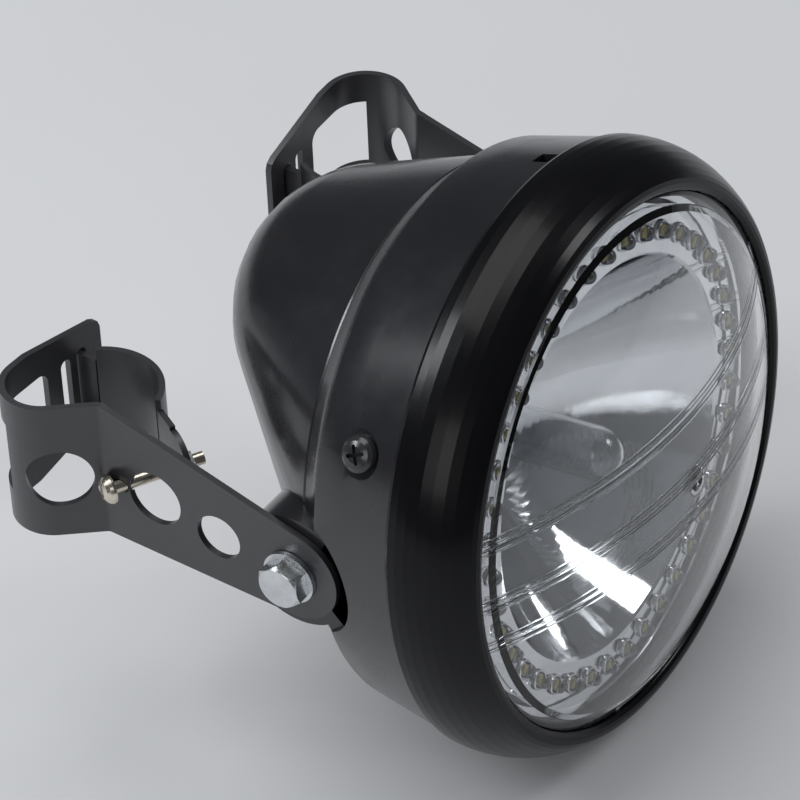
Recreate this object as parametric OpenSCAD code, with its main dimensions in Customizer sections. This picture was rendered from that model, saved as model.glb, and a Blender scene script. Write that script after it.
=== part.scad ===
// Round motorcycle headlight with a ring of small lights and two fork clamp brackets.
// The two clamp tubes stand along Z, the lamp looks towards -Y, X runs from clamp to clamp.
// The origin lies midway between the two clamped fork tubes, at half the clamp height.

/* [Lamp] */
// Radius of the bucket band at the seam with the trim ring
seam_r = 91.4; // [88:0.2:94]
// Radius of the rear ridge of the band
ridge_r = 86; // [84:0.2:87]
// Length of the band from the seam to its rear ridge
band_len = 27; // [25:0.5:29]
// Wall thickness of the bucket
shell_t = 2.2; // [1.8:0.1:2.6]
// Nose-up angle of the lamp against the clamps
rest_tilt = 6; // [0:0.5:12]
// Number of small lights around the reflector
led_count = 40; // [24:2:44]
// Height of the domed front glass above its rim
lens_rise = 22; // [16:0.5:24]

/* [Brackets] */
// Distance of the outer faces of the two arms from the middle plane
arm_x = 85.2; // [85.2:0.1:86]
// Thickness of the bracket plate
plate_t = 2; // [1.8:0.1:2]
// Height of the folded clamp plate
clamp_h = 47; // [44:1:50]
// Radius of the fork tube seat in the strap
tube_r = 18; // [17.7:0.05:18]
// Height of the clamp strap
strap_h = 28; // [26:1:32]
// Radius of the large hole in the arm
hole_big_r = 9; // [7:0.5:9]
// Radius of the small hole in the arm
hole_small_r = 7.4; // [6:0.2:8]

/* [Fasteners] */
// Radius of the two tilt bolts
bolt_r = 4; // [3.8:0.05:4]
// Width across the flats of the tilt bolt head
bolt_af = 13; // [12:0.5:14]
// Radius of the domed heads of the trim screws
trim_head_r = 5.6; // [5:0.1:6]

/* [Hidden] */

$fn = 96;
black = [0.03, 0.03, 0.035];
satin = [0.09, 0.09, 0.1];
zinc = [0.75, 0.77, 0.78];
silver = [0.85, 0.86, 0.88];
clear = [0.8, 0.86, 0.9, 0.35];
rubber = [0.05, 0.05, 0.05];

// The tilt axis, seen from the origin
bolt_y = -77.6;
bolt_z = -11.2;
// The tilt axis lies this far behind the seam of the lamp
bolt_back = 37.5;
// Outer face of the bosses the arms lie against
boss_x = arm_x - plate_t - 0.2;

// Shapes and places used by several pieces

// Puts a shape drawn on the lamp axis at its place: front towards -Y, seam at the local zero
module lamp_place() {
    translate([0, bolt_y, bolt_z])
        rotate([-rest_tilt, 0, 0])
            translate([0, -bolt_back, 0])
                children();
}

// Turns a profile of radius and forward distance about the lamp axis
module turned() {
    rotate([90, 0, 0])
        rotate_extrude($fn = 128)
            children();
}

// A round bar along X, from one distance to another
module bar_x(r, x0, x1) {
    translate([x0, 0, 0])
        rotate([0, 90, 0])
            cylinder(r = r, h = x1 - x0);
}

// A washer or tube along X
module ring_x(r0, r1, x0, x1) {
    difference() {
        bar_x(r1, x0, x1);
        bar_x(r0, x0 - 1, x1 + 1);
    }
}

// A six-sided bar along X
module hex_x(af, x0, x1) {
    translate([x0, 0, 0])
        rotate([0, 90, 0])
            cylinder(d = af / cos(30), h = x1 - x0, $fn = 6);
}

// Places a thing on the right (-X) side for side = -1 and mirrors it for side = 1
module on_side(side) {
    if (side < 0) mirror([1, 0, 0]) children();
    else children();
}

// The tilt axis inside the lamp, at side = 1
module at_bolt() {
    translate([0, bolt_back, 0])
        children();
}

// Bucket

// Solid of the bowl behind the band, drawn smaller by the given wall
module bowl_solid(wall) {
    intersection() {
        translate([-100, 36, -100])
            cube([200, 100, 200]);
        hull() {
            translate([0, 36, 0])
                rotate([-90, 0, 0])
                    cylinder(r = 78.6 - wall, h = 0.6, $fn = 72);
            translate([0, 48, 26])
                rotate([-90 - 54, 0, 0])
                    rotate_extrude($fn = 64)
                        intersection() {
                            translate([27, 0])
                                circle(r = 28 - wall, $fn = 28);
                            translate([0, -50])
                                square([100, 100]);
                        }
        }
    }
}

module band_profile() {
    polygon([
        [seam_r, 0], [ridge_r, -band_len], [ridge_r - 0.4, -band_len - 0.9],
        [ridge_r - 2.4, -band_len - 2.4], [ridge_r - 4.6, -band_len - 4.8],
        [ridge_r - 6.4, -34.6], [78.6, -36], [78.6, -36.6], [0, -36.6], [0, 0]
    ]);
}

module band_inner_profile() {
    polygon([
        [seam_r - shell_t, 1], [seam_r - shell_t, 0], [ridge_r - shell_t, -band_len + 0.4],
        [ridge_r - shell_t - 0.6, -band_len - 1], [ridge_r - shell_t - 2.6, -band_len - 3],
        [ridge_r - shell_t - 4.6, -band_len - 5.3], [78.7 - shell_t, -35],
        [78.6 - shell_t, -36.1], [0, -36.1], [0, 1]
    ]);
}

// Direction of the two trim screws: turned this far from the top of the lamp
screw_turn = 60;
screw_y = 13;
screw_r0 = seam_r - (seam_r - ridge_r) * screw_y / band_len;

module at_trim_screw(side) {
    translate([0, screw_y, 0])
        rotate([0, side * screw_turn, 0])
            children();
}

// Middle and direction of the cable outlet in the sloped rear face
outlet_y = 71;
outlet_z = -10.5;
outlet_turn = 26.5;

module at_outlet() {
    translate([0, outlet_y, outlet_z])
        rotate([-90 - outlet_turn, 0, 0])
            children();
}

module bucket_shell() {
    color(black)
    lamp_place()
    difference() {
        union() {
            turned() band_profile();
            bowl_solid(0);
            for (side = [-1, 1])
                on_side(side)
                    at_bolt()
                        bar_x(19, 50, boss_x);
        }
        turned() band_inner_profile();
        translate([0, -0.1, 0])
            bowl_solid(shell_t);
        for (side = [-1, 1])
            on_side(side)
                at_bolt() {
                    bar_x(14.5, 40, boss_x - 4);
                    bar_x(bolt_r + 0.15, 60, 100);
                    bar_x(21, boss_x, 100);
                }
        for (side = [-1, 1])
            at_trim_screw(side) {
                cylinder(r = 2.7, h = 120);
                translate([0, 0, screw_r0 - 0.9])
                    cylinder(r = trim_head_r + 1.6, h = 10);
            }
        // Locating notch in the front edge
        rotate([0, 9, 0])
            translate([-3, -1, 80])
                cube([6, 7, 20]);
        at_outlet()
            translate([0, 0, -12])
                cylinder(r = 9, h = 24);
    }
}

module cable_grommet() {
    color(rubber)
    lamp_place()
    at_outlet()
    rotate_extrude()
        polygon([
            [5, -3.2], [10.6, -3.2], [11.4, -2.4], [11.2, -0.7], [8.9, -0.7], [8.9, 2.65],
            [12.4, 2.75], [12, 4.2], [9.5, 5.6], [6.4, 5.9], [5, 5.6]
        ]);
}

// Trim ring

module trim_profile() {
    polygon([
        [85, -6], [87.2, -6], [87.2, 2.2], [90.3, 2.2], [90.4, 0.3], [92, 0.3], [92.6, 1.4],
        [92.9, 4], [92.9, 7], [92.5, 10.5], [91.7, 14], [90.5, 17.3], [89, 20.2], [87.3, 22.8],
        [85.8, 24.6], [84.6, 25.5], [83.2, 25.8], [82, 25.6], [81, 24.9], [80.8, 24.6],
        [80.8, 23.4], [82.2, 23.4], [83.6, 22.9], [85.2, 21.2], [87.2, 18.3], [88.8, 15.2],
        [89.9, 11.9], [90.6, 8.4], [90.6, 3.8], [85, 3.8]
    ]);
}

module trim_ring() {
    color(black)
    lamp_place()
    difference() {
        union() {
            turned() trim_profile();
            // Lugs the two trim screws go into
            for (side = [-1, 1])
                rotate([0, side * screw_turn, 0])
                    intersection() {
                        rotate([90, 0, 0])
                            translate([0, 0, -19.5])
                                difference() {
                                    cylinder(r = 85.2, h = 21);
                                    translate([0, 0, -1])
                                        cylinder(r = 82, h = 23);
                                }
                        translate([-7, -10, 0])
                            cube([14, 40, 120]);
                    }
        }
        for (side = [-1, 1])
            at_trim_screw(side)
                cylinder(r = 2.42, h = 120);
    }
}

module trim_screw(side) {
    color(satin)
    lamp_place()
    at_trim_screw(side)
    difference() {
        union() {
            translate([0, 0, screw_r0 - 10.5])
                cylinder(r = 2.4, h = 10);
            translate([0, 0, screw_r0 - 0.85])
                rotate_extrude()
                    polygon([
                        [0, 0], [trim_head_r, 0], [trim_head_r, 1], [trim_head_r - 0.5, 2],
                        [trim_head_r - 1.6, 2.9], [trim_head_r - 3.2, 3.4], [0, 3.6]
                    ]);
        }
        // Cross recess
        for (turn = [0, 90])
            translate([0, 0, screw_r0 + 1])
                rotate([0, 0, turn + 20])
                    translate([-2.9, -0.5, 0])
                        cube([5.8, 1, 4]);
    }
}

module trim_screw_right() { trim_screw(-1); }
module trim_screw_left() { trim_screw(1); }

// Lamp unit

glass_r = 80.4;
glass_f = 24.4;
dome_r = (glass_r * glass_r + lens_rise * lens_rise) / (2 * lens_rise);

module lens() {
    color(clear)
    lamp_place()
    turned()
    difference() {
        intersection() {
            translate([0, glass_f + lens_rise - dome_r])
                circle(r = dome_r, $fn = 360);
            translate([0, glass_f - 4.2])
                square([glass_r, 60]);
        }
        translate([0, glass_f + lens_rise - dome_r - 0.2])
            circle(r = dome_r - 3, $fn = 360);
        translate([-1, glass_f - 10])
            square([77, 10]);
        translate([-200, -200])
            square([200, 400]);
    }
}

module lens_gasket() {
    color(rubber)
    lamp_place()
    turned()
    polygon([[77.6, 18.4], [80.2, 18.4], [80.2, 20], [77.6, 20]]);
}

// Depth of the parabola below the shelf
focal = 20;
shelf_f = 17;
bowl_r = 60;
hole_r = 12;
function dish(r) = shelf_f - bowl_r * bowl_r / (4 * focal) + r * r / (4 * focal);

module reflector() {
    color(silver)
    lamp_place()
    turned()
    polygon(concat(
        [for (k = [0 : 24]) let (r = hole_r + (bowl_r - hole_r) * k / 24) [r, dish(r)]],
        [[60.8, shelf_f + 0.8], [74.4, shelf_f + 0.8], [75.2, 18.2], [80.2, 18.2], [80.2, 16.2],
         [76.6, 16.2], [76, shelf_f - 1.2], [62.4, shelf_f - 1.2]],
        [for (k = [0 : 24]) let (r = bowl_r + 1.2 - (bowl_r + 1.2 - hole_r) * k / 24)
            [r, dish(r) - 2.2]]
    ));
}

module led_board() {
    color([0.1, 0.35, 0.16])
    lamp_place()
    turned()
    polygon([[63, shelf_f - 3], [74, shelf_f - 3], [74, shelf_f - 1.4], [63, shelf_f - 1.4]]);
}

module led_domes() {
    color([0.95, 0.96, 0.9])
    lamp_place()
    rotate([90, 0, 0])
    for (k = [0 : led_count - 1])
        rotate([0, 0, (k + 0.5) * 360 / led_count])
            translate([67.3, 0, shelf_f + 0.85])
                rotate_extrude($fn = 32)
                    polygon([[0, 0], [2.9, 0], [2.9, 0.8], [2.4, 0.9], [2.3, 1.9], [1.9, 2.8],
                             [1.2, 3.5], [0, 3.8]]);
}

// Spring clips that press the lamp unit into the trim ring
module lens_clips() {
    color(zinc)
    lamp_place()
    for (turn = [15, 105, 195, 285])
        rotate([0, turn, 0]) {
            translate([-6, -16, 81])
                cube([12, 1, 4.6]);
            translate([-6, -15.5, 84])
                cube([12, 9, 1.6]);
            translate([-6, -16, 77.4])
                cube([12, 1, 4]);
        }
}

module bulb_glass() {
    color([0.9, 0.95, 1, 0.5])
    lamp_place()
    rotate([90, 0, 0])
    difference() {
        union() {
            translate([0, 0, -22])
                cylinder(r = 8.2, h = 34);
            translate([0, 0, 12])
                sphere(r = 8.2);
        }
        translate([0, 0, -21])
            cylinder(r = 7.2, h = 33);
        translate([0, 0, 12])
            sphere(r = 7.2);
    }
}

module bulb_collar() {
    color(zinc)
    lamp_place()
    rotate([90, 0, 0])
    difference() {
        union() {
            translate([0, 0, -32])
                cylinder(r = 19, h = 1.4);
            translate([0, 0, -38])
                cylinder(r = 10.8, h = 15.8);
        }
        translate([0, 0, -23.5])
            cylinder(r = 9.4, h = 10);
    }
}

module bulb_terminals() {
    color(zinc)
    lamp_place()
    for (turn = [0, 90, 180])
        rotate([0, turn, 0])
            translate([-3.9, 38.05, 5.6])
                cube([7.8, 9, 0.8]);
}

// Wire clip that holds the bulb against the back of the reflector
module bulb_spring() {
    color(zinc)
    lamp_place()
    for (side = [-1, 1]) {
        translate([side * 14.4, 33.3, -22])
            cylinder(r = 0.8, h = 44);
        translate([side * 14.4, 33.3, 22])
            sphere(r = 0.8, $fn = 32);
    }
}

module bulb_boot() {
    color(rubber)
    lamp_place()
    turned()
    difference() {
        polygon([
            [0, -52], [12, -52], [14.5, -50.5], [15.6, -47], [16, -42], [19, -40], [21.5, -38],
            [24, -37.2], [24, -35.4], [0, -35.4]
        ]);
        polygon([[-1, -49], [11.6, -49], [12.6, -46], [13, -40.6], [13, -34], [-1, -34]]);
        translate([-50, -60])
            square([50, 40]);
    }
}

// Tilt bolts

module mount_bolt(side) {
    color(zinc)
    lamp_place()
    on_side(side)
    at_bolt() {
        difference() {
            union() {
                hex_x(bolt_af, arm_x + 1.9, arm_x + 7.2);
                bar_x(bolt_r, boss_x - 16, arm_x + 2);
            }
            // Rounded corners of the head
            translate([arm_x + 6.1, 0, 0])
                rotate([0, 90, 0])
                    difference() {
                        cylinder(r = 12, h = 3);
                        translate([0, 0, -0.01])
                            cylinder(r1 = bolt_af * 0.575, r2 = bolt_af * 0.575 - 3, h = 3.02);
                    }
        }
    }
}

module mount_bolt_right() { mount_bolt(-1); }
module mount_bolt_left() { mount_bolt(1); }

module flat_washer(side) {
    color(zinc)
    lamp_place()
    on_side(side)
    at_bolt()
    ring_x(bolt_r + 0.2, 8.4, arm_x + 0.25, arm_x + 1.85);
}

module flat_washer_right() { flat_washer(-1); }
module flat_washer_left() { flat_washer(1); }

module spring_washer(side) {
    color(zinc)
    lamp_place()
    on_side(side)
    at_bolt()
    difference() {
        ring_x(bolt_r + 0.2, 6.9, boss_x - 6.05, boss_x - 4.05);
        translate([boss_x - 7, -0.5, 0])
            cube([4, 1, 10]);
    }
}

module spring_washer_right() { spring_washer(-1); }
module spring_washer_left() { spring_washer(1); }

module mount_nut(side) {
    color(zinc)
    lamp_place()
    on_side(side)
    at_bolt()
    difference() {
        hex_x(bolt_af, boss_x - 12.6, boss_x - 6.1);
        bar_x(bolt_r + 0.03, boss_x - 20, boss_x);
    }
}

module mount_nut_right() { mount_nut(-1); }
module mount_nut_left() { mount_nut(1); }

// Brackets, drawn at +X and mirrored for the right side

// Plan of the folded plate: arm, fold, short wall, bend round the back of the tube, rear wall
fold_turn = 38;
fold_r = 2;
fold_y = -12.5;
wall_len = 14;
bend_r = 11.6;
rear_turn = 3;
rear_len = 38;

tube_x = arm_x - 15.8;
// Centre of the small fold at the end of the arm
fold_cx = arm_x + fold_r;
fold_cy = fold_y - fold_r * tan(fold_turn / 2);
// Inner face at the end of the fold
p1x = fold_cx - (fold_r + plate_t) * cos(fold_turn);
p1y = fold_cy + (fold_r + plate_t) * sin(fold_turn);
p2x = p1x + wall_len * sin(fold_turn);
p2y = p1y + wall_len * cos(fold_turn);
// Centre of the bend
bx = p2x - bend_r * cos(fold_turn);
by = p2y + bend_r * sin(fold_turn);
// Inner face at the start of the rear wall
p3x = bx - bend_r * sin(rear_turn);
p3y = by + bend_r * cos(rear_turn);

// A slice of the flat ring between two radii
module ring_slice(r0, r1, a0, a1) {
    intersection() {
        difference() {
            circle(r = r1);
            circle(r = r0);
        }
        polygon(concat([[0, 0]], [for (k = [0 : 6]) let (a = a0 + (a1 - a0) * k / 6)
            [r1 * 1.5 * cos(a), r1 * 1.5 * sin(a)]]));
    }
}

// Points round a centre from the angle a0 to a1, in n equal steps
function arc_run(cx, cy, r, a0, a1, n) = [
    for (k = [0 : n])
        let (a = a0 + (a1 - a0) * k / n)
            [cx + r * cos(a), cy + r * sin(a)]
];

module bracket_plan() {
    tail = [cos(180 + rear_turn), sin(180 + rear_turn)] * rear_len;
    polygon(concat(
        [[arm_x - plate_t, bolt_y - 20], [arm_x, bolt_y - 20]],
        arc_run(fold_cx, fold_cy, fold_r, 180, 180 - fold_turn, 6),
        arc_run(bx, by, bend_r + plate_t, -fold_turn, 90 + rear_turn, 24),
        [[p3x - plate_t * sin(rear_turn), p3y + plate_t * cos(rear_turn)] + tail, [p3x, p3y] + tail],
        arc_run(bx, by, bend_r, 90 + rear_turn, -fold_turn, 24),
        arc_run(fold_cx, fold_cy, fold_r + plate_t, 180 - fold_turn, 180, 6)
    ));
}

// Side view of the plate: rounded arm end, level foot, rising top edge
module bracket_side() {
    difference() {
        union() {
            translate([bolt_y, bolt_z])
                circle(r = 15.2);
            polygon([
                [bolt_y + 1.2, bolt_z - 15.15], [fold_y, -clamp_h / 2], [60, -clamp_h / 2],
                [60, clamp_h / 2], [fold_cy, clamp_h / 2], [fold_cy - 2.4, clamp_h / 2 - 0.8],
                [bolt_y - 4.2, bolt_z + 14.6]
            ]);
        }
        translate([bolt_y, bolt_z])
            circle(r = bolt_r + 0.5);
        translate([fold_y - 18, -3.4])
            circle(r = hole_big_r);
        translate([fold_y - 40, -8.3])
            circle(r = hole_small_r);
    }
}

// The pinch screw lies level, turned this far from the X direction
pinch_turn = 30;
pinch_y = fold_y - 6;
pinch_z = -3.5;

// Zero on the outer face of the arm, Z along the screw towards its head
module at_pinch() {
    translate([arm_x, pinch_y, pinch_z])
        rotate([0, 90, pinch_turn])
            children();
}

module bracket(side) {
    color(satin)
    on_side(side)
    difference() {
        intersection() {
            translate([0, 0, -40])
                linear_extrude(80)
                    bracket_plan();
            translate([30, 0, 0])
                rotate([90, 0, 90])
                    linear_extrude(100)
                        bracket_side();
        }
        // Hole through the outer wall of the clamp
        translate([p1x, p1y, -2.5])
            rotate([0, 0, -fold_turn])
                translate([-4, 12, 0])
                    rotate([0, 90, 0])
                        cylinder(r = 10, h = 14);
        // Window round the bend, two slots and the tapered end of the rear wall
        translate([p3x, p3y, 0])
            rotate([0, 0, 180 + rear_turn]) {
                translate([0, 6, 1])
                    rotate([90, 0, 0])
                        linear_extrude(20)
                            window_shape();
                for (end = [-1, 1])
                    translate([0, 5, 0])
                        rotate([90, 0, 0])
                            linear_extrude(10)
                                tail_cut(end);
                for (u = [rear_slot - 7.2, rear_slot])
                    translate([u, 3, 0])
                        rotate([90, 0, 0])
                            linear_extrude(8)
                                slot_shape(4.2, 23);
            }
        at_pinch()
            translate([0, 0, -12])
                cylinder(r = 2.3, h = 20);
    }
}

// Opening that runs from the rear wall out round the bend
module window_shape() {
    translate([-40, -12])
        square([49.4, 24]);
    translate([0, -8])
        square([13.4, 16]);
    for (z = [-8, 8])
        translate([9.4, z])
            circle(r = 4);
}

// Corner cut off the end of the rear wall, at the top for end = 1
module tail_cut(end) {
    polygon([
        [4, end * (clamp_h / 2 + 0.4)], [rear_len - 3, end * (clamp_h / 2 - 6)],
        [rear_len - 0.9, end * (clamp_h / 2 - 7.2)], [rear_len + 0.1, end * (clamp_h / 2 - 9.6)],
        [rear_len + 3, end * (clamp_h / 2 - 9.6)], [rear_len + 3, end * 40], [4, end * 40]
    ]);
}

module slot_shape(w, h) {
    square([w, h - w], center = true);
    for (s = [-1, 1])
        translate([0, s * (h - w) / 2])
            circle(d = w);
}

module bracket_right() { bracket(-1); }
module bracket_left() { bracket(1); }

// Strap: arc on the tube, flange for the pinch screw, tongue hooked through the rear slot
strap_t = 1.8;
arc_start = 142;
arc_end = 254;
flange_len = 20;
tongue_z = 20;
// Middle of the arc end where the tongue starts, and its place along the rear wall
tongue_x = tube_x + (tube_r + strap_t / 2) * cos(arc_start);
tongue_y = (tube_r + strap_t / 2) * sin(arc_start);
rear_slot = -(tongue_x - p3x) * cos(rear_turn) - (tongue_y - p3y) * sin(rear_turn);
// How far the tongue runs to the outer face of the rear wall
tongue_run = (p3x - tongue_x) * -sin(rear_turn) + (p3y - tongue_y) * cos(rear_turn) + plate_t;
flange_x = tube_x + (tube_r + strap_t / 2) * cos(arc_end);
flange_y = (tube_r + strap_t / 2) * sin(arc_end);

module clamp_strap(side) {
    color(satin)
    on_side(side) {
        difference() {
            union() {
                translate([tube_x, 0, -strap_h / 2])
                    linear_extrude(strap_h)
                        ring_slice(tube_r, tube_r + strap_t, arc_start, arc_end + 2);
                // Flange
                translate([flange_x, flange_y, 0])
                    rotate([0, 0, pinch_turn])
                        translate([-strap_t / 2, 0, 0])
                            rotate([90, 0, 90])
                                linear_extrude(strap_t)
                                    flange_shape();
                // Tongue and hook
                translate([tongue_x, tongue_y, -tongue_z / 2])
                    rotate([0, 0, rear_turn]) {
                        translate([-strap_t / 2, -0.3, 0])
                            cube([strap_t, tongue_run + 0.6 + strap_t, tongue_z]);
                        translate([-5.4, tongue_run + 0.3, 0])
                            cube([5.4, strap_t, tongue_z]);
                    }
            }
            at_pinch()
                translate([0, 0, -60])
                    cylinder(r = 2.3, h = 60);
        }
    }
}

// Flange seen along the screw: narrow root, rounded end
module flange_shape() {
    difference() {
        union() {
            translate([-9, -strap_h / 2 + 4])
                square([9.6, strap_h - 8]);
            translate([-flange_len + 9, 0])
                circle(r = 9);
        }
        translate([0.1, -30])
            square([20, 60]);
    }
}

module clamp_strap_right() { clamp_strap(-1); }
module clamp_strap_left() { clamp_strap(1); }

// Distance along the screw from the arm face to the flange
flange_run = ((arm_x - flange_x) * cos(pinch_turn) + (pinch_y - flange_y) * sin(pinch_turn));

module pinch_screw(side) {
    color([0.8, 0.74, 0.62])
    on_side(side)
    at_pinch() {
        translate([0, 0, -flange_run - 8])
            cylinder(r = 1.98, h = flange_run + 11.1);
        translate([0, 0, 3])
            rotate_extrude()
                polygon([[0, 0], [4.5, 0], [4.5, 0.7], [4.1, 1.7], [3.3, 2.6], [2, 3.3], [0, 3.6]]);
    }
}

module pinch_screw_right() { pinch_screw(-1); }
module pinch_screw_left() { pinch_screw(1); }

module pinch_nut(side) {
    color(zinc)
    on_side(side)
    at_pinch()
    translate([0, 0, -flange_run - strap_t / 2 - 3.3])
    difference() {
        cylinder(d = 7 / cos(30), h = 3.2, $fn = 6);
        translate([0, 0, -1])
            cylinder(r = 2.02, h = 6);
    }
}

module pinch_nut_right() { pinch_nut(-1); }
module pinch_nut_left() { pinch_nut(1); }

bucket_shell();
trim_ring();
lens();
lens_gasket();
reflector();
led_board();
led_domes();
lens_clips();
bulb_glass();
bulb_collar();
bulb_terminals();
bulb_spring();
bulb_boot();
cable_grommet();
trim_screw_right();
trim_screw_left();
mount_bolt_right();
mount_bolt_left();
flat_washer_right();
flat_washer_left();
spring_washer_right();
spring_washer_left();
mount_nut_right();
mount_nut_left();
bracket_right();
bracket_left();
clamp_strap_right();
clamp_strap_left();
pinch_screw_right();
pinch_screw_left();
pinch_nut_right();
pinch_nut_left();
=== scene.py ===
import math

import bmesh
import bpy
from bpy.props import FloatProperty, FloatVectorProperty, IntProperty, PointerProperty
from mathutils import Matrix, Vector


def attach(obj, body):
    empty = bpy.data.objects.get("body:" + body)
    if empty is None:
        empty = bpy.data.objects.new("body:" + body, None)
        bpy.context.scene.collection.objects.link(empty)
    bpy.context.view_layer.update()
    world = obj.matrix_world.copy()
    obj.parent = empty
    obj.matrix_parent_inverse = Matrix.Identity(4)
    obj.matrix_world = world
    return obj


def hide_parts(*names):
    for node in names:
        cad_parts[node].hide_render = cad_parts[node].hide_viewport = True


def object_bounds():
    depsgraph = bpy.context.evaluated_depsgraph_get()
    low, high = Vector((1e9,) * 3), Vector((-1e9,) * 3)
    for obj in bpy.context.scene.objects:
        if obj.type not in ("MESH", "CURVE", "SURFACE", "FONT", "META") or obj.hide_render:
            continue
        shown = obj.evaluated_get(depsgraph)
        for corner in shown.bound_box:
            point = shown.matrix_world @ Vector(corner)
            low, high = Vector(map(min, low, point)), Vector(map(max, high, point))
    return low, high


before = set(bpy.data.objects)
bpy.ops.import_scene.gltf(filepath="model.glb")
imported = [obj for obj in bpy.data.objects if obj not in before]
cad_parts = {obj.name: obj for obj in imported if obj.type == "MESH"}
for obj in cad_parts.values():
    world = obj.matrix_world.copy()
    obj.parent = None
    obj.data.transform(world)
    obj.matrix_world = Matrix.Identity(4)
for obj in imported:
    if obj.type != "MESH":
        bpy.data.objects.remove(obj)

bl_info = {
    "name": "Round Headlight Finish",
    "version": (1, 0, 0),
    "blender": (4, 5, 0),
    "location": "View3D > Sidebar > Headlight",
    "description": "Finishes and fine pieces of a round motorcycle headlight around its fixed frame",
    "category": "Object",
}

CAD_BOX = [list(corner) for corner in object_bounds()]
MM = 0.001

# The tilt axis in the frame, its distance behind the seam, and the nose-up angle of the lamp
TILT_Y = -77.6 * MM
TILT_Z = -11.2 * MM
SEAM_TO_TILT = 37.5 * MM
NOSE_UP = math.radians(6)

# Place of the lamp in the frame: the local +Z is the way the lamp shines, the seam is the zero
LAMP = (
    Matrix.Translation((0, TILT_Y, TILT_Z))
    @ Matrix.Rotation(-NOSE_UP, 4, "X")
    @ Matrix.Translation((0, -SEAM_TO_TILT, 0))
    @ Matrix.Rotation(math.radians(90), 4, "X")
)

# Height of the lamp axis once the frame is turned level with the lamp
LAMP_LEVEL = (Matrix.Rotation(NOSE_UP, 4, "X") @ LAMP).translation.z

# Middle of each pair of flute lines over the lamp axis, and how far from its own middle a line
# has its full depth and ends
FLUTE_HEIGHTS = (22 * MM, 3.5 * MM, -10.5 * MM)
LINE_CORE = 0.15 * MM
LINE_EDGE = 0.45 * MM

# Edges flatter than this many degrees are shaded as one surface
SMOOTH_BELOW = 24

# Front face of the shelf that carries the small lights
SHELF = 17.85 * MM

# Camera of the photograph: its place and two of its axes
CAMERA_PLACE = (-0.7894, -0.6015, 0.7559)
CAMERA_RIGHT = (0.5444, -0.8383, -0.0329)
CAMERA_BACK = (-0.6422, -0.4415, 0.6266)


# Sizes and colours a user would change


class HeadlightPaint(bpy.types.PropertyGroup):
    bucket: FloatVectorProperty(
        name="Bucket black", description="Colour of the painted bucket",
        subtype="COLOR", size=3, min=0, max=1, default=(0.011, 0.011, 0.013),
    )
    trim: FloatVectorProperty(
        name="Trim black", description="Colour of the gloss trim ring",
        subtype="COLOR", size=3, min=0, max=1, default=(0.003, 0.003, 0.0036),
    )
    bracket: FloatVectorProperty(
        name="Bracket black", description="Colour of the powder coat on the brackets",
        subtype="COLOR", size=3, min=0, max=1, default=(0.023, 0.023, 0.026),
    )
    zinc: FloatVectorProperty(
        name="Zinc", description="Colour of the plated bolts, washers and nuts",
        subtype="COLOR", size=3, min=0, max=1, default=(0.72, 0.74, 0.76),
    )


class HeadlightLamp(bpy.types.PropertyGroup):
    lights: IntProperty(
        name="Small lights", description="Number of small lights around the reflector",
        min=8, max=80, default=40,
    )
    light_circle: FloatProperty(
        name="Light circle", description="Radius of the circle the small lights stand on",
        unit="LENGTH", default=67.3 * MM,
    )
    flute_gap: FloatProperty(
        name="Flute gap", description="Distance between the two lines of a flute in the glass",
        unit="LENGTH", default=2.6 * MM,
    )


class HeadlightStage(bpy.types.PropertyGroup):
    floor: FloatVectorProperty(
        name="Floor", description="Colour of the floor",
        subtype="COLOR", size=3, min=0, max=1, default=(0.60, 0.60, 0.605),
    )
    lens: FloatProperty(
        name="Focal length", description="Focal length of the camera in mm", default=184.68,
    )
    lamps: FloatProperty(
        name="Lamp level", description="Level of all studio lamps", min=0, max=4, default=1.0,
    )


# Node materials


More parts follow.
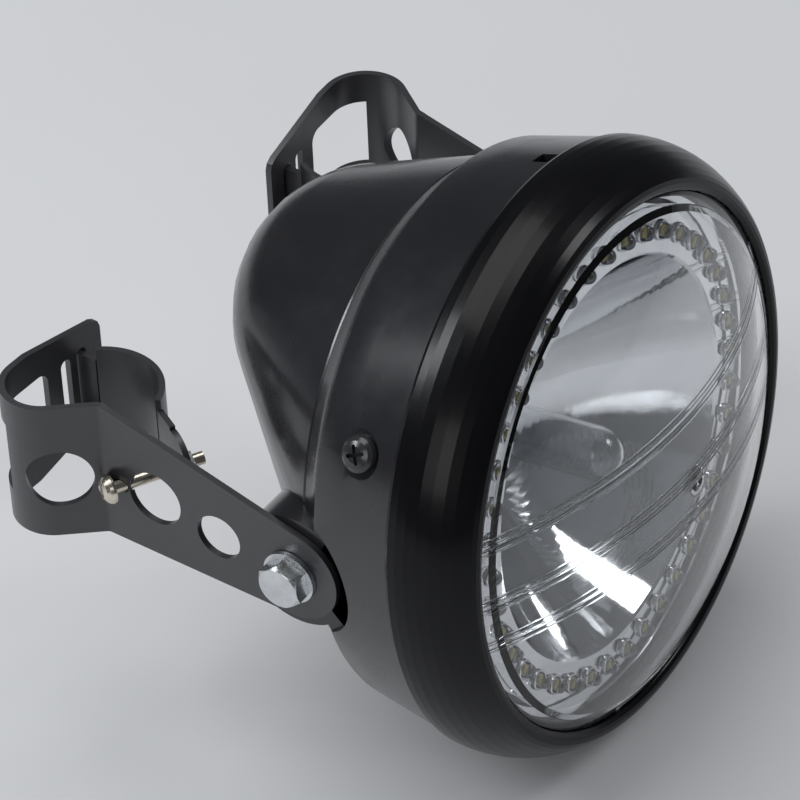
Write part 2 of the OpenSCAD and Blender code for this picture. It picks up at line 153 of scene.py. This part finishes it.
class Finish:
    """One node material with its surface shader and a few short ways to add nodes."""

    def __init__(self, name):
        self.material = bpy.data.materials.new(name)
        self.material.use_nodes = True
        self.tree = self.material.node_tree
        self.tree.nodes.clear()
        self.shader = self.tree.nodes.new("ShaderNodeBsdfPrincipled")
        out = self.tree.nodes.new("ShaderNodeOutputMaterial")
        self.link(self.shader.outputs["BSDF"], out.inputs["Surface"])
        self.place = self.tree.nodes.new("ShaderNodeTexCoord").outputs["Object"]

    def link(self, output, target):
        self.tree.links.new(output, target)

    def constant(self, **values):
        for key, value in values.items():
            self.shader.inputs[key.replace("_", " ")].default_value = value

    def axis(self, name, place):
        node = self.tree.nodes.new("ShaderNodeSeparateXYZ")
        self.link(place, node.inputs["Vector"])
        return node.outputs[name]

    def mapped(self, scale=(1, 1, 1), turn=(0, 0, 0)):
        node = self.tree.nodes.new("ShaderNodeMapping")
        node.inputs["Scale"].default_value = scale
        node.inputs["Rotation"].default_value = turn
        self.link(self.place, node.inputs["Vector"])
        return node.outputs["Vector"]

    def noise(self, scale, detail=3.0, rough=0.5, place=None):
        node = self.tree.nodes.new("ShaderNodeTexNoise")
        node.inputs["Scale"].default_value = scale
        node.inputs["Detail"].default_value = detail
        node.inputs["Roughness"].default_value = rough
        self.link(place or self.place, node.inputs["Vector"])
        return node.outputs["Fac"]

    def spread(self, value, low, high, start=0.0, end=1.0):
        node = self.tree.nodes.new("ShaderNodeMapRange")
        node.inputs["From Min"].default_value = start
        node.inputs["From Max"].default_value = end
        node.inputs["To Min"].default_value = low
        node.inputs["To Max"].default_value = high
        self.link(value, node.inputs["Value"])
        return node.outputs["Result"]

    def ramp(self, value, *stops):
        node = self.tree.nodes.new("ShaderNodeValToRGB")
        marks = node.color_ramp.elements
        while len(marks) < len(stops):
            marks.new(0.5)
        for mark, (where, colour) in zip(marks, stops):
            mark.position = where
            mark.color = (*colour, 1)
        self.link(value, node.inputs["Fac"])
        return node.outputs["Color"]

    def math(self, operation, first, second):
        node = self.tree.nodes.new("ShaderNodeMath")
        node.operation = operation
        for slot, value in zip(node.inputs, (first, second)):
            if isinstance(value, (int, float)):
                slot.default_value = value
            else:
                self.link(value, slot)
        return node.outputs["Value"]

    def bump(self, height, strength, distance, normal=None):
        node = self.tree.nodes.new("ShaderNodeBump")
        node.inputs["Strength"].default_value = strength
        node.inputs["Distance"].default_value = distance
        self.link(height, node.inputs["Height"])
        if normal:
            self.link(normal, node.inputs["Normal"])
        return node.outputs["Normal"]

    def colour(self, output):
        self.link(output, self.shader.inputs["Base Color"])

    def roughness(self, output):
        self.link(output, self.shader.inputs["Roughness"])

    def normal(self, output):
        self.link(output, self.shader.inputs["Normal"])


def tinted(colour, factor):
    return tuple(min(1.0, channel * factor) for channel in colour)


def gloss_black(name, colour, low, high, peel, shine=0.5):
    """Sprayed black paint: a slight orange peel, dust in the clear coat and uneven polish."""
    finish = Finish(name)
    cloud = finish.noise(14, 4)
    finish.colour(finish.ramp(cloud, (0.3, tinted(colour, 0.8)), (0.75, tinted(colour, 1.35))))
    polish = finish.noise(55, 5, 0.6)
    finish.roughness(finish.spread(polish, low, high, 0.3, 0.75))
    waves = finish.noise(260, 2, 0.4)
    dust = finish.noise(2600, 2, 0.5)
    coarse = finish.bump(waves, peel, 0.00012)
    finish.normal(finish.bump(dust, peel * 0.5, 0.00002, coarse))
    finish.constant(Coat_Weight=shine * 0.5, Coat_Roughness=0.12, Specular_IOR_Level=shine)
    return finish.material


def satin_black(name, colour):
    """Powder coat: fine grain, soft sheen and small paler rubs."""
    finish = Finish(name)
    grain = finish.noise(2100, 3, 0.6)
    cloud = finish.noise(26, 4, 0.6)
    rub = finish.ramp(
        finish.noise(95, 6, 0.75),
        (0.0, tinted(colour, 0.85)), (0.62, tinted(colour, 1.0)), (0.74, tinted(colour, 1.8)),
    )
    finish.colour(rub)
    finish.roughness(finish.spread(cloud, 0.30, 0.44, 0.3, 0.7))
    finish.normal(finish.bump(grain, 0.28, 0.00005))
    finish.constant(Specular_IOR_Level=0.8, Coat_Weight=0.15, Coat_Roughness=0.25)
    return finish.material


def plated(name, colour, low=0.2, high=0.36):
    """Plated steel: brushed by the tool, with faint stains."""
    finish = Finish(name)
    brushed = finish.noise(900, 4, 0.65, finish.mapped(scale=(0.12, 1, 1)))
    stain = finish.noise(120, 5, 0.6)
    finish.colour(finish.ramp(stain, (0.3, tinted(colour, 0.82)), (0.7, tinted(colour, 1.08))))
    finish.roughness(finish.spread(brushed, low, high, 0.3, 0.7))
    finish.normal(finish.bump(brushed, 0.2, 0.00003))
    finish.constant(Metallic=1.0)
    return finish.material


def mirror(name):
    """Vapour coated reflector: bright, slightly rippled, with a breath of haze."""
    finish = Finish(name)
    haze = finish.noise(38, 4, 0.6)
    finish.colour(finish.ramp(haze, (0.3, (0.80, 0.81, 0.83)), (0.7, (0.90, 0.91, 0.92))))
    finish.roughness(finish.spread(haze, 0.04, 0.13, 0.35, 0.75))
    ripple = finish.noise(70, 2, 0.4)
    finish.normal(finish.bump(ripple, 0.22, 0.0006))
    finish.constant(Metallic=1.0)
    return finish.material


def clear_glass(name, low=0.0, high=0.035):
    """Clear pressed glass with a slight wave and a trace of dust."""
    finish = Finish(name)
    dust = finish.noise(160, 5, 0.65)
    finish.colour(finish.ramp(dust, (0.4, (0.99, 0.995, 1.0)), (0.8, (0.93, 0.94, 0.95))))
    finish.roughness(finish.spread(dust, low, high, 0.45, 0.75))
    wave = finish.noise(45, 2, 0.4)
    finish.normal(finish.bump(wave, 0.12, 0.0003))
    finish.constant(Transmission_Weight=1.0, IOR=1.49)
    return finish.material


def fluted_glass(name, heights, gap):
    """Front glass with pairs of fine level lines, each line pressed in as a thin groove."""
    finish = Finish(name)
    # Height over the lamp axis, which is tilted nose-up in the frame
    turned = finish.mapped(turn=(NOSE_UP, 0, 0))
    level = finish.math("SUBTRACT", finish.axis("Z", turned), LAMP_LEVEL)
    lines = 0.0
    for height in heights:
        for side in (-0.5, 0.5):
            away = finish.math("ABSOLUTE", finish.math("SUBTRACT", level, height + side * gap), 0.0)
            line = finish.spread(away, 1.0, 0.0, LINE_CORE, LINE_EDGE)
            lines = finish.math("ADD", line, lines)
    finish.colour(finish.ramp(lines, (0.0, (0.97, 0.98, 0.99)), (1.0, (0.80, 0.83, 0.86))))
    finish.roughness(finish.spread(lines, 0.012, 0.3))
    wave = finish.bump(finish.noise(45, 2, 0.4), 0.12, 0.0003)
    finish.normal(finish.bump(lines, 0.6, 0.0003, wave))
    finish.constant(Transmission_Weight=1.0, IOR=1.49)
    return finish.material


def soft_rubber(name):
    finish = Finish(name)
    grain = finish.noise(1500, 4, 0.6)
    bloom = finish.noise(60, 4, 0.6)
    finish.colour(finish.ramp(bloom, (0.3, (0.014, 0.014, 0.014)), (0.75, (0.034, 0.033, 0.032))))
    finish.roughness(finish.spread(bloom, 0.55, 0.75, 0.3, 0.7))
    finish.normal(finish.bump(grain, 0.4, 0.00006))
    return finish.material


def circuit_white(name):
    """White solder mask with faint copper tracks under it."""
    finish = Finish(name)
    track = finish.noise(220, 2, 0.4)
    finish.colour(finish.ramp(track, (0.45, (0.74, 0.75, 0.73)), (0.55, (0.66, 0.68, 0.65))))
    finish.roughness(finish.spread(track, 0.35, 0.5, 0.3, 0.7))
    finish.normal(finish.bump(track, 0.2, 0.00005))
    return finish.material


def light_chip(name):
    """Phosphor of a small light: pale yellow and slightly grainy."""
    finish = Finish(name)
    grain = finish.noise(1800, 3)
    finish.colour(finish.ramp(grain, (0.3, (0.80, 0.66, 0.20)), (0.75, (0.92, 0.83, 0.42))))
    finish.roughness(finish.spread(grain, 0.4, 0.6, 0.3, 0.7))
    finish.normal(finish.bump(grain, 0.3, 0.00005))
    return finish.material


def paint(objects, material):
    for piece in objects:
        piece.data.materials.clear()
        piece.data.materials.append(material)


def cad(*names):
    return [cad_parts[name] for name in names]


def even_shading(objects, angle):
    """Shades the solids smoothly over every edge flatter than the angle, by one shared modifier."""
    group = bpy.data.node_groups.new("even_shading", "GeometryNodeTree")
    group.interface.new_socket("Geometry", in_out="INPUT", socket_type="NodeSocketGeometry")
    group.interface.new_socket("Geometry", in_out="OUTPUT", socket_type="NodeSocketGeometry")
    start = group.nodes.new("NodeGroupInput")
    end = group.nodes.new("NodeGroupOutput")
    weld = group.nodes.new("GeometryNodeMergeByDistance")
    weld.inputs["Distance"].default_value = 0.002 * MM
    edge = group.nodes.new("GeometryNodeInputMeshEdgeAngle")
    sharp = group.nodes.new("FunctionNodeCompare")
    sharp.operation = "GREATER_THAN"
    sharp.inputs[1].default_value = math.radians(angle)
    shade = group.nodes.new("GeometryNodeSetMeshNormal")
    shade.mode = "SHARPNESS"
    shade.inputs["Remove Custom"].default_value = True
    shade.inputs["Face Sharpness"].default_value = False
    group.links.new(start.outputs[0], weld.inputs["Geometry"])
    group.links.new(weld.outputs["Geometry"], shade.inputs["Mesh"])
    group.links.new(edge.outputs["Unsigned Angle"], sharp.inputs[0])
    group.links.new(sharp.outputs["Result"], shade.inputs["Edge Sharpness"])
    group.links.new(shade.outputs["Mesh"], end.inputs[0])
    for piece in objects:
        piece.modifiers.new("even_shading", "NODES").node_group = group


def both(name):
    return name + "_right", name + "_left"


# Ways to model the new pieces


def fresh_start():
    """Back to object mode with nothing selected."""
    if bpy.context.object and bpy.context.object.mode != "OBJECT":
        bpy.ops.object.mode_set(mode="OBJECT")
    bpy.ops.object.select_all(action="DESELECT")


def turned_piece(name, profile, segments):
    """Lathes a profile of (radius, height) pairs in mm, by pulling one ring out of the last."""
    fresh_start()
    radius, height = profile[0]
    bpy.ops.mesh.primitive_circle_add(
        vertices=segments, radius=radius * MM, fill_type="NOTHING", location=(0, 0, height * MM)
    )
    piece = bpy.context.object
    piece.name = name
    bpy.ops.object.transform_apply(location=True)
    bpy.ops.object.mode_set(mode="EDIT")
    bpy.ops.mesh.select_all(action="SELECT")
    for new_radius, new_height in profile[1:]:
        bpy.ops.mesh.extrude_edges_move()
        bpy.ops.transform.resize(value=(new_radius / radius, new_radius / radius, 1))
        bpy.ops.transform.translate(value=(0, 0, (new_height - height) * MM))
        radius, height = new_radius, new_height
    bpy.ops.mesh.select_all(action="SELECT")
    bpy.ops.mesh.remove_doubles(threshold=0.004 * MM)
    bpy.ops.mesh.select_all(action="DESELECT")
    bpy.ops.mesh.select_mode(type="EDGE")
    bpy.ops.mesh.select_non_manifold(extend=False)
    if any(edge.select for edge in bmesh.from_edit_mesh(piece.data).edges):
        bpy.ops.mesh.edge_face_add()
    bpy.ops.mesh.select_all(action="SELECT")
    bpy.ops.mesh.normals_make_consistent(inside=False)
    bpy.ops.object.mode_set(mode="OBJECT")
    return piece


def settle(piece, matrix, material, smooth):
    """Puts the finished piece at its place, keeps the place in its mesh and gives its material."""
    fresh_start()
    piece.matrix_world = matrix @ piece.matrix_world
    piece.select_set(True)
    bpy.context.view_layer.objects.active = piece
    bpy.ops.object.transform_apply(location=True, rotation=True, scale=True)
    bpy.ops.object.shade_smooth_by_angle(angle=math.radians(smooth))
    paint([piece], material)
    return piece


def copies_joined(piece, matrices, name):
    """Copies one piece to each place, each copy with its own mesh, and joins them."""
    made = []
    for matrix in matrices:
        copy = piece.copy()
        copy.data = piece.data.copy()
        bpy.context.scene.collection.objects.link(copy)
        copy.matrix_world = matrix
        made.append(copy)
    bpy.data.objects.remove(piece)
    fresh_start()
    for copy in made:
        copy.select_set(True)
    bpy.context.view_layer.objects.active = made[0]
    bpy.ops.object.transform_apply(location=True, rotation=True, scale=True)
    bpy.ops.object.join()
    joined = bpy.context.object
    joined.name = name
    return joined


def around(count, radius, height):
    """Places on a circle, the first one half a step off the X axis."""
    return [
        Matrix.Rotation(math.tau * (k + 0.5) / count, 4, "Z")
        @ Matrix.Translation((radius, 0, height))
        for k in range(count)
    ]


# The pieces


class HEADLIGHT_OT_bucket(bpy.types.Operator):
    """Paints the bucket and the trim ring"""

    bl_idname = "headlight.bucket"
    bl_label = "Bucket and trim ring"

    def execute(self, context):
        colours = context.scene.headlight_paint
        paint(cad("bucket_shell"), gloss_black("bucket_paint", colours.bucket, 0.20, 0.32, 0.16, 0.55))
        paint(cad("trim_ring"), gloss_black("trim_paint", colours.trim, 0.20, 0.30, 0.10, 0.16))
        even_shading(cad("bucket_shell"), SMOOTH_BELOW)
        return {"FINISHED"}


class HEADLIGHT_OT_glass(bpy.types.Operator):
    """Finishes the domed front glass with the pairs of fine lines pressed into it"""

    bl_idname = "headlight.glass"
    bl_label = "Front glass"

    def execute(self, context):
        lamp = context.scene.headlight_lamp
        paint(cad("lens"), fluted_glass("lens_glass", FLUTE_HEIGHTS, lamp.flute_gap))
        paint(cad("lens_gasket"), soft_rubber("gasket_rubber"))
        return {"FINISHED"}


class HEADLIGHT_OT_reflector(bpy.types.Operator):
    """Coats the reflector and the board behind its shelf"""

    bl_idname = "headlight.reflector"
    bl_label = "Reflector"

    def execute(self, context):
        paint(cad("reflector"), mirror("reflector_coat"))
        paint(cad("led_board"), circuit_white("board_mask"))
        return {"FINISHED"}


class HEADLIGHT_OT_small_lights(bpy.types.Operator):
    """Builds the ring of small lights: a chip in a cup under a clear dome"""

    bl_idname = "headlight.small_lights"
    bl_label = "Small lights"

    def execute(self, context):
        lamp = context.scene.headlight_lamp
        circle = lamp.light_circle

        dome = turned_piece(
            "dome",
            [(0.3, 0.35), (2.2, 0.35), (2.35, 0.5), (2.35, 1.5), (2.28, 2.0), (2.05, 2.6),
             (1.65, 3.15), (1.1, 3.55), (0.5, 3.76), (0.1, 3.8)],
            segments=20,
        )
        domes = copies_joined(dome, around(lamp.lights, circle, SHELF), "small_light_domes")
        settle(domes, LAMP, clear_glass("dome_resin", 0.02, 0.09), 50)
        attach(domes, "lamp")
        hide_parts("led_domes")

        cup = turned_piece(
            "cup",
            [(2.42, 0.05), (2.95, 0.05), (3.1, 0.3), (3.0, 0.75),
             (2.7, 0.9), (2.48, 0.8), (2.42, 0.05)],
            segments=24,
        )
        cups = copies_joined(cup, around(lamp.lights, circle, SHELF), "small_light_cups")
        settle(cups, LAMP, plated("cup_silver", (0.80, 0.81, 0.82), 0.12, 0.25), 40)
        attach(cups, "lamp")

        fresh_start()
        bpy.ops.mesh.primitive_cube_add(size=1.5 * MM, location=(0, 0, 0.45 * MM))
        chip = bpy.context.object
        chip.dimensions = (1.9 * MM, 1.9 * MM, 0.5 * MM)
        bpy.ops.object.transform_apply(location=True, scale=True)
        bpy.ops.object.mode_set(mode="EDIT")
        bpy.ops.mesh.select_all(action="SELECT")
        bpy.ops.mesh.bevel(offset=0.15 * MM, segments=1)
        bpy.ops.object.mode_set(mode="OBJECT")
        chips = copies_joined(chip, around(lamp.lights, circle, SHELF + 0.3 * MM), "small_light_chips")
        settle(chips, LAMP, light_chip("chip_phosphor"), 30)
        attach(chips, "lamp")
        return {"FINISHED"}


class HEADLIGHT_OT_bulb(bpy.types.Operator):
    """Finishes the bulb, its collar, spring, blades and boot"""

    bl_idname = "headlight.bulb"
    bl_label = "Bulb"

    def execute(self, context):
        paint(cad("bulb_glass"), clear_glass("bulb_clear_glass", 0.0, 0.02))
        steel = plated("bulb_steel", (0.66, 0.67, 0.68), 0.25, 0.42)
        paint(cad("bulb_collar", "bulb_terminals", "bulb_spring", "lens_clips"), steel)
        paint(cad("bulb_boot"), soft_rubber("boot_rubber"))
        return {"FINISHED"}


class HEADLIGHT_OT_fasteners(bpy.types.Operator):
    """Plates the bolts, washers, nuts and screws"""

    bl_idname = "headlight.fasteners"
    bl_label = "Bolts and screws"

    def execute(self, context):
        colours = context.scene.headlight_paint
        zinc = plated("zinc_plate", colours.zinc)
        names = [*both("mount_bolt"), *both("flat_washer"), *both("spring_washer"),
                 *both("mount_nut"), *both("pinch_nut")]
        paint(cad(*names), zinc)
        paint(cad(*both("pinch_screw")), plated("nickel_plate", (0.74, 0.68, 0.57), 0.16, 0.3))
        paint(cad(*both("trim_screw")), gloss_black("screw_black", (0.02, 0.02, 0.021), 0.2, 0.34, 0.2))
        paint(cad("cable_grommet"), soft_rubber("grommet_rubber"))
        return {"FINISHED"}


class HEADLIGHT_OT_brackets(bpy.types.Operator):
    """Powder coats the two folded brackets and their straps"""

    bl_idname = "headlight.brackets"
    bl_label = "Fork brackets"

    def execute(self, context):
        colours = context.scene.headlight_paint
        coat = satin_black("bracket_coat", colours.bracket)
        paint(cad(*both("bracket"), *both("clamp_strap")), coat)
        even_shading(cad(*both("bracket")), SMOOTH_BELOW)
        return {"FINISHED"}


class HEADLIGHT_OT_stage(bpy.types.Operator):
    """Lays the floor, hangs the studio lamps and sets up the camera"""

    bl_idname = "headlight.stage"
    bl_label = "Stage and camera"

    def execute(self, context):
        stage = context.scene.headlight_stage
        low, high = (Vector(corner) for corner in CAD_BOX)
        middle = (low + high) / 2

        fresh_start()
        bpy.ops.mesh.primitive_plane_add(size=6, location=(middle.x, middle.y, low.z - 0.0004))
        floor = bpy.context.object
        floor.name = "floor"
        bpy.ops.object.transform_apply(location=True)
        finish = Finish("floor_paper")
        cloud = finish.noise(1.6, 3)
        shades = (0.3, tinted(stage.floor, 0.95)), (0.7, tinted(stage.floor, 1.04))
        finish.colour(finish.ramp(cloud, *shades))
        finish.roughness(finish.spread(cloud, 0.5, 0.6, 0.3, 0.7))
        finish.normal(finish.bump(finish.noise(900, 2), 0.05, 0.0001))
        paint([floor], finish.material)

        world = bpy.data.worlds.new("studio")
        context.scene.world = world
        world.use_nodes = True
        tree = world.node_tree
        tree.nodes.clear()
        out = tree.nodes.new("ShaderNodeOutputWorld")
        mix = tree.nodes.new("ShaderNodeMixShader")
        path = tree.nodes.new("ShaderNodeLightPath")
        fill = tree.nodes.new("ShaderNodeBackground")
        fill.inputs["Color"].default_value = (0.82, 0.86, 0.92, 1)
        fill.inputs["Strength"].default_value = 0.42
        seen = tree.nodes.new("ShaderNodeBackground")
        seen.inputs["Color"].default_value = (0.62, 0.63, 0.65, 1)
        seen.inputs["Strength"].default_value = 1.0
        dim = tree.nodes.new("ShaderNodeBackground")
        dim.inputs["Color"].default_value = (0.82, 0.86, 0.92, 1)
        dim.inputs["Strength"].default_value = 0.09
        mirrored = tree.nodes.new("ShaderNodeMixShader")
        tree.links.new(path.outputs["Is Glossy Ray"], mirrored.inputs["Fac"])
        tree.links.new(fill.outputs["Background"], mirrored.inputs[1])
        tree.links.new(dim.outputs["Background"], mirrored.inputs[2])
        tree.links.new(path.outputs["Is Camera Ray"], mix.inputs["Fac"])
        tree.links.new(mirrored.outputs["Shader"], mix.inputs[1])
        tree.links.new(seen.outputs["Background"], mix.inputs[2])
        tree.links.new(mix.outputs["Shader"], out.inputs["Surface"])

        def lamp(name, place, size, power, colour=(1, 1, 1)):
            data = bpy.data.lights.new(name, "AREA")
            data.shape = "RECTANGLE"
            data.size, data.size_y = size
            data.energy = power * stage.lamps
            data.color = colour
            lamp_object = bpy.data.objects.new(name, data)
            context.scene.collection.objects.link(lamp_object)
            lamp_object.location = place
            aim = middle - Vector(place)
            lamp_object.rotation_euler = aim.to_track_quat("-Z", "Y").to_euler()

        lamp("ceiling", (0.1, 0.35, 1.9), (1.6, 1.2), 15)
        lamp("window_left", (-0.75, 1.0, 1.2), (0.5, 0.75), 13, (0.94, 0.97, 1.0))
        lamp("window_front", (1.05, -1.15, 1.4), (0.5, 0.7), 8, (0.98, 0.99, 1.0))
        lamp("soft_left", (-1.8, -0.3, 0.9), (0.9, 0.9), 5)

        camera_data = bpy.data.cameras.new("photo_camera")
        camera_data.lens = stage.lens
        camera_data.sensor_width = 36
        camera_data.clip_start = 0.01
        camera = bpy.data.objects.new("photo_camera", camera_data)
        context.scene.collection.objects.link(camera)
        right = Vector(CAMERA_RIGHT).normalized()
        back = Vector(CAMERA_BACK).normalized()
        up = back.cross(right).normalized()
        right = up.cross(back)
        camera.matrix_world = Matrix.Translation(CAMERA_PLACE) @ Matrix(
            ((right.x, up.x, back.x), (right.y, up.y, back.y), (right.z, up.z, back.z))
        ).to_4x4()
        context.scene.camera = camera
        context.scene.view_settings.view_transform = "Standard"
        return {"FINISHED"}


PIECES = (
    HEADLIGHT_OT_bucket,
    HEADLIGHT_OT_glass,
    HEADLIGHT_OT_reflector,
    HEADLIGHT_OT_small_lights,
    HEADLIGHT_OT_bulb,
    HEADLIGHT_OT_fasteners,
    HEADLIGHT_OT_brackets,
    HEADLIGHT_OT_stage,
)


class HEADLIGHT_PT_sidebar(bpy.types.Panel):
    """Lists the pieces of the headlight and their settings"""

    bl_idname = "HEADLIGHT_PT_sidebar"
    bl_label = "Headlight"
    bl_space_type = "VIEW_3D"
    bl_region_type = "UI"
    bl_category = "Headlight"

    def draw(self, context):
        for group in (
            context.scene.headlight_paint,
            context.scene.headlight_lamp,
            context.scene.headlight_stage,
        ):
            for key in group.__annotations__:
                self.layout.prop(group, key)
        for piece in PIECES:
            self.layout.operator(piece.bl_idname)


GROUPS = (HeadlightPaint, HeadlightLamp, HeadlightStage)


def register():
    for item in (*GROUPS, *PIECES, HEADLIGHT_PT_sidebar):
        bpy.utils.register_class(item)
    bpy.types.Scene.headlight_paint = PointerProperty(type=HeadlightPaint)
    bpy.types.Scene.headlight_lamp = PointerProperty(type=HeadlightLamp)
    bpy.types.Scene.headlight_stage = PointerProperty(type=HeadlightStage)


def unregister():
    del bpy.types.Scene.headlight_stage
    del bpy.types.Scene.headlight_lamp
    del bpy.types.Scene.headlight_paint
    for item in reversed((*GROUPS, *PIECES, HEADLIGHT_PT_sidebar)):
        bpy.utils.unregister_class(item)


def main():
    register()
    bpy.ops.headlight.bucket()
    bpy.ops.headlight.glass()
    bpy.ops.headlight.reflector()
    bpy.ops.headlight.small_lights()
    bpy.ops.headlight.bulb()
    bpy.ops.headlight.fasteners()
    bpy.ops.headlight.brackets()
    bpy.ops.headlight.stage()


if __name__ == "__main__":
    main()
